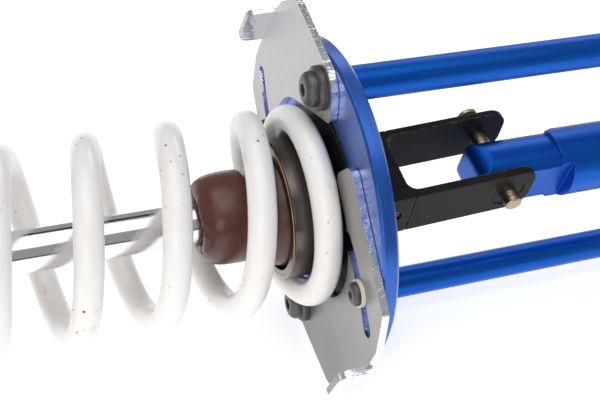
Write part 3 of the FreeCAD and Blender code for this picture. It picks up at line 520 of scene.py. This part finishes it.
for subpart in frame["record"]["subparts"]:
    piece = nodes[subpart["node"]]
    finish = NODE_FINISH.get(piece.name, SLOT_FINISH[subpart["material_slot"]])
    piece.data.materials.clear()
    piece.data.materials.append(finish)

# %% [markdown]
# ## Making new pieces
# Most solids are right as they are.  A few need a finer shape, and those are modelled here with
# bmesh: a few points, then Blender's own spin, bevel and bisect.  `lathe` spins a closed outline
# round the X axis, which is how the real parts are turned or moulded.  `add_piece` makes the
# object, says which body it rides on, and hides the solid it stands for.

# %% Lathe and add
FULL_TURN = 2 * math.pi
SAME_POINT = 1e-6


def lathe(outline, steps):
    """Spin a closed loop of (x, radius) points, in metres, about the X axis."""
    mesh = bmesh.new()
    loop = [mesh.verts.new((x, 0.0, radius)) for x, radius in outline]
    edges = [mesh.edges.new(pair) for pair in zip(loop, loop[1:] + loop[:1])]
    bmesh.ops.spin(mesh, geom=loop + edges, cent=(0, 0, 0), axis=(1, 0, 0), angle=FULL_TURN,
                   steps=steps, use_merge=True)
    bmesh.ops.remove_doubles(mesh, verts=mesh.verts, dist=SAME_POINT)
    bmesh.ops.recalc_face_normals(mesh, faces=mesh.faces)
    return mesh


def add_piece(name, mesh, body, finish, stands_for=(), sharp_deg=35):
    """Turn a bmesh into a piece that rides on a body, in place of the solids named."""
    data = bpy.data.meshes.new(name)
    mesh.to_mesh(data)
    mesh.free()
    data.shade_smooth()
    data.set_sharp_from_angle(angle=math.radians(sharp_deg))
    data.materials.append(finish)
    piece = bpy.data.objects.new(name, data)
    bpy.context.scene.collection.objects.link(piece)
    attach(piece, body)
    if stands_for:
        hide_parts(*stands_for)
    print(name, "has", len(data.polygons), "faces")


# %% [markdown]
# ## The bump stop
# On the real strut a cast urethane bumper sits on the rod: a round bulb with a torn, chewed
# mouth, a step down to a waist, and a bell that seats in the steel collar.  We spin its
# outline, which goes once round the section from the mouth and back along the bore, nudge the
# skin with a smooth noise so it isn't a perfect turning, and chew the mouth with a stronger,
# finer noise.  Sculpting by hand would also do, but wouldn't come out the same twice.

# %% Mould the bump stop
stop_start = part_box("bump_stop")[0].x
STOP_OUTLINE_MM = [
    (1.6, 11.2), (0.7, 12.6), (0.5, 14.2), (1.5, 16.0), (4.0, 18.2), (8.0, 19.7), (12.5, 20.2),
    (17.0, 20.2), (20.4, 19.9), (21.8, 19.2), (22.3, 18.2), (22.8, 17.0), (23.7, 16.8),
    (24.8, 18.2), (26.4, 20.6), (28.4, 22.4), (31.5, 23.8), (36.0, 25.0), (41.0, 25.8),
    (45.4, 26.0), (45.8, 25.4), (45.8, 16.0), (45.8, 9.6), (36.0, 9.5), (20.0, 9.5), (9.0, 9.6),
    (5.0, 10.0), (3.0, 10.6)]
STOP_STEPS = 72
BORE_SKIN = 0.0098
SKIN_RIPPLE = 0.0004
MOUTH_REACH = 0.0045
MOUTH_RADIUS = 0.0175
BITE_DEEP = 0.0013
END_MARGIN = 0.0001


def chew(mesh):
    """Nudge the skin everywhere a little, and the mouth's rim a lot."""
    for vert in mesh.verts:
        depth = vert.co.x - stop_start
        radius = math.hypot(vert.co.y, vert.co.z)
        if radius < BORE_SKIN:
            continue
        outward = Vector((0.0, vert.co.y, vert.co.z)) / radius
        vert.co += outward * (noise.noise(vert.co * 90.0) - 0.5) * SKIN_RIPPLE
        mouth = max(0.0, 1.0 - depth / MOUTH_REACH) * (radius < MOUTH_RADIUS)
        bite = noise.noise(vert.co * 520.0) * 0.6 + noise.noise(vert.co * 210.0)
        vert.co += (outward * bite + Vector((max(0.0, bite), 0.0, 0.0))) * BITE_DEEP * mouth
        vert.co.x = max(vert.co.x, stop_start + END_MARGIN)


stop_outline = [(stop_start + x / 1000, radius / 1000) for x, radius in STOP_OUTLINE_MM]
stop_mesh = lathe(stop_outline, STOP_STEPS)
bmesh.ops.subdivide_edges(stop_mesh, edges=stop_mesh.edges, cuts=1, use_grid_fill=True,
                          smooth=0.6)
chew(stop_mesh)
add_piece("bump_stop_moulded", stop_mesh, "rod_end", URETHANE, ["bump_stop"], 80)

# %% [markdown]
# ## The knurled ring
# Between the collar and the coil there's a thin black ring whose rim is knurled so that fingers
# can turn it.  Its crests are rubbed through to pale metal.  A knurl is a grid with every other
# point pushed in, so we spin a rim with many rows, between two chamfers, and push in a
# checkerboard of them.

# %% Knurl the ring
ring_low, ring_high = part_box("seat_ring")
KNURL_STEPS = 132
KNURL_ROWS = 6
KNURL_DEEP = 0.00055
RING_CHAMFER = 0.0006
RING_BORE = 0.0243
RIM_SKIN = 0.0001
rim = ring_high.z
knurl_width = ring_high.x - ring_low.x - 2 * RING_CHAMFER
rows = [(ring_low.x + RING_CHAMFER + knurl_width * row / KNURL_ROWS, rim)
        for row in range(KNURL_ROWS + 1)]
front_side = [(ring_low.x, RING_BORE), (ring_low.x, rim - RING_CHAMFER)]
back_side = [(ring_high.x, rim - RING_CHAMFER), (ring_high.x, RING_BORE)]
knurl_mesh = lathe(front_side + rows + back_side, KNURL_STEPS)
for vert in knurl_mesh.verts:
    if math.hypot(vert.co.y, vert.co.z) < rim - RIM_SKIN:
        continue
    around = round(math.atan2(vert.co.y, vert.co.z) / FULL_TURN * KNURL_STEPS)
    row = round((vert.co.x - rows[0][0]) / (rows[1][0] - rows[0][0]))
    if (around + row) % 2:
        vert.co.yz = vert.co.yz * (1 - KNURL_DEEP / rim)
KNURLED = make_coated("knurled black ring", (0.014, 0.0135, 0.014), (0.03, 0.026, 0.025),
                      (0.55, 0.47, 0.34), 0.5, 0.28, 0.42, 1.6, 500.0)
add_piece("seat_ring_knurled", knurl_mesh, "rod_end", KNURLED, ["seat_ring"],
          20)

# %% [markdown]
# ## A painted highlight on the collar's edge
# The collar's front edge shows a thin golden line of highlight.  A small bright ring of bronze
# wire on that edge stands in for that line: it is a painted highlight.

# %% Add the painted highlight ring
# Painted highlight: this bronze wire ring only stands in for the light caught on the collar's
# front edge.
collar_low, collar_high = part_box("spring_collar")
HIGHLIGHT_WIRE = 0.00028
HIGHLIGHT_SIDES = 8
HIGHLIGHT_STEPS = 96
highlight_ring_x = collar_low.x + 0.0004
highlight_ring_radius = collar_high.z - 0.0008
highlight_ring_angles = [FULL_TURN * side / HIGHLIGHT_SIDES for side in range(HIGHLIGHT_SIDES)]
highlight_ring_circle = [(highlight_ring_x + HIGHLIGHT_WIRE * math.cos(angle), highlight_ring_radius + HIGHLIGHT_WIRE * math.sin(angle))
              for angle in highlight_ring_angles]
add_piece("collar_highlight_ring", lathe(highlight_ring_circle, HIGHLIGHT_STEPS), "rod_end", BRONZE, sharp_deg=60)

# %% [markdown]
# ## The draw screw's thread
# The solid has a plain shank, and the real one a trapezoid thread.  The head, with its cross
# hole, is kept: a copy of the solid, its triangles joined, is cut through a little behind the
# thrust bearing.  The thread is one pitch of outline, spun with a step along the axis at each
# turn, trimmed flat at both ends and capped.  A Screw modifier could wind it too, but spin
# leaves a plain mesh.

# %% Cut the thread
CUT_GAP = 1e-7
SHANK_PLAIN = 0.014
PITCH = 0.004
CREST_RADIUS = 0.008
ROOT_RADIUS = 0.0071
THREAD_STEPS = 36


def trim(mesh, place, side):
    """Cut away what lies past a plane across X, on its low side (-1) or high side (1)."""
    everything = mesh.verts[:] + mesh.edges[:] + mesh.faces[:]
    bmesh.ops.bisect_plane(mesh, geom=everything, dist=CUT_GAP, plane_co=(place, 0, 0),
                           plane_no=(side, 0, 0), clear_outer=True)


def cap(mesh):
    """Close every open edge loop with a face."""
    bmesh.ops.holes_fill(mesh, edges=[e for e in mesh.edges if e.is_boundary], sides=0)


def wind_thread(start, end, pitch, crest, root, steps):
    """A closed threaded bar along X."""
    mesh = bmesh.new()
    outline = [(0.0, root), (0.30, root), (0.42, crest), (0.88, crest), (1.0, root)]
    points = [mesh.verts.new((start - pitch + share * pitch, 0.0, radius))
              for share, radius in outline]
    edges = [mesh.edges.new(pair) for pair in zip(points, points[1:])]
    turns = math.ceil((end - start) / pitch) + 2
    bmesh.ops.spin(mesh, geom=points + edges, cent=(0, 0, 0), axis=(1, 0, 0),
                   dvec=(pitch / steps, 0, 0), angle=FULL_TURN * turns, steps=steps * turns)
    bmesh.ops.remove_doubles(mesh, verts=mesh.verts, dist=SAME_POINT)
    trim(mesh, start, -1)
    trim(mesh, end, 1)
    cap(mesh)
    bmesh.ops.recalc_face_normals(mesh, faces=mesh.faces)
    return mesh


screw_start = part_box("draw_screw")[0].x
thread_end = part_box("thrust_races")[1].x - SHANK_PLAIN
screw_mesh = bmesh.new()
screw_mesh.from_mesh(nodes["draw_screw"].data)
bmesh.ops.remove_doubles(screw_mesh, verts=screw_mesh.verts, dist=SAME_POINT)
trim(screw_mesh, thread_end, -1)
cap(screw_mesh)
thread_data = bpy.data.meshes.new("thread_only")
thread_mesh = wind_thread(screw_start, thread_end, PITCH, CREST_RADIUS, ROOT_RADIUS, THREAD_STEPS)
thread_mesh.to_mesh(thread_data)
thread_mesh.free()
screw_mesh.from_mesh(thread_data)
bpy.data.meshes.remove(thread_data)
add_piece("draw_screw_threaded", screw_mesh, "screw", BARE_STEEL, ["draw_screw"], 25)

# %% [markdown]
# ## The floor
# A pale paper floor lies just under the tool's lowest edge.  It glows a little by itself, so
# that it comes out white without the lights having to bleach the object.

# %% Lay the floor
FLOOR_DROP = 0.001
FLOOR_HALF = 6.0
floor_mesh = bmesh.new()
bmesh.ops.create_grid(floor_mesh, x_segments=2, y_segments=2, size=FLOOR_HALF)
bmesh.ops.translate(floor_mesh, verts=floor_mesh.verts, vec=(0, 0, cad_low.z - FLOOR_DROP))
floor_data = bpy.data.meshes.new("paper_floor")
floor_mesh.to_mesh(floor_data)
floor_mesh.free()
floor = bpy.data.objects.new("paper_floor", floor_data)
bpy.context.scene.collection.objects.link(floor)

PAPER, paper_tree, paper_shader = start_finish("floor paper", Roughness=0.9,
                                               Specular_IOR_Level=0.1, Emission_Strength=0.58)
paper_tone = wire(paper_tree, "ShaderNodeTexNoise", Vector=place_of(paper_tree), Scale=3.0,
                  Detail=2.0)
feed(paper_tree, paper_shader,
     Base_Color=tint(paper_tree, paper_tone, (0.90, 0.90, 0.90), (0.93, 0.93, 0.93)),
     Emission_Color=tint(paper_tree, paper_tone, (1.0, 1.0, 1.0), (0.98, 0.98, 0.98)))
floor_data.materials.append(PAPER)
print("floor at z =", round(cad_low.z - FLOOR_DROP, 4))

# %% [markdown]
# ## The light
# The light is a light tent: a bright even surround, a big softbox overhead, a second one in
# front and a weak one behind, and two dark flags that only reflections can see, which put the
# dark lines into the chrome.

# %% Hang the lights
def add_softbox(name, place, aim, width, height, watts, colour=(1, 1, 1)):
    """A rectangular area light, turned to face a point."""
    data = bpy.data.lights.new(name, "AREA")
    data.shape, data.size, data.size_y = "RECTANGLE", width, height
    data.energy, data.color = watts, colour
    lamp = bpy.data.objects.new(name, data)
    lamp.location = place
    lamp.rotation_mode = "QUATERNION"
    lamp.rotation_quaternion = (Vector(aim) - Vector(place)).to_track_quat("-Z", "Y")
    bpy.context.scene.collection.objects.link(lamp)


def add_flag(name, place, aim, width, height):
    """A dark card that only reflections can see."""
    mesh = bmesh.new()
    bmesh.ops.create_grid(mesh, x_segments=1, y_segments=1, size=0.5)
    bmesh.ops.scale(mesh, verts=mesh.verts, vec=(width, height, 1))
    turn = (Vector(aim) - Vector(place)).to_track_quat("Z", "Y").to_matrix().to_4x4()
    bmesh.ops.transform(mesh, verts=mesh.verts, matrix=Matrix.Translation(place) @ turn)
    data = bpy.data.meshes.new(name)
    mesh.to_mesh(data)
    mesh.free()
    card = bpy.data.objects.new(name, data)
    card.visible_camera = card.visible_diffuse = card.visible_shadow = False
    bpy.context.scene.collection.objects.link(card)
    material, tree, shader = start_finish(name + " felt", Roughness=1.0, Specular_IOR_Level=0.0)
    tone = wire(tree, "ShaderNodeTexNoise", Vector=place_of(tree), Scale=40.0)
    feed(tree, shader, Base_Color=tint(tree, tone, (0.010, 0.010, 0.011), (0.02, 0.02, 0.02)))
    data.materials.append(material)


MIDDLE = Vector((-0.28, 0.0, 0.0))
add_softbox("overhead_softbox", (-0.45, -0.1, 1.3), MIDDLE, 1.6, 1.2, 9.5)
add_softbox("front_softbox", (-1.0, -1.1, 0.55), MIDDLE, 0.9, 0.7, 4.0, (1.0, 0.985, 0.97))
add_softbox("back_softbox", (0.5, 1.0, 0.8), MIDDLE, 0.7, 0.5, 2.0, (0.96, 0.97, 1.0))
add_flag("low_front_flag", (-0.35, -0.9, 0.02), MIDDLE, 1.4, 0.10)
add_flag("high_back_flag", (-0.35, 0.55, 0.75), MIDDLE, 1.4, 0.12)

world = bpy.data.worlds.new("light_tent")
world.use_nodes = True
surround = world.node_tree.nodes["Background"]
surround.inputs["Color"].default_value = (0.93, 0.95, 1.0, 1.0)
surround.inputs["Strength"].default_value = 0.36
bpy.context.scene.world = world
bpy.context.scene.view_settings.view_transform = "Standard"
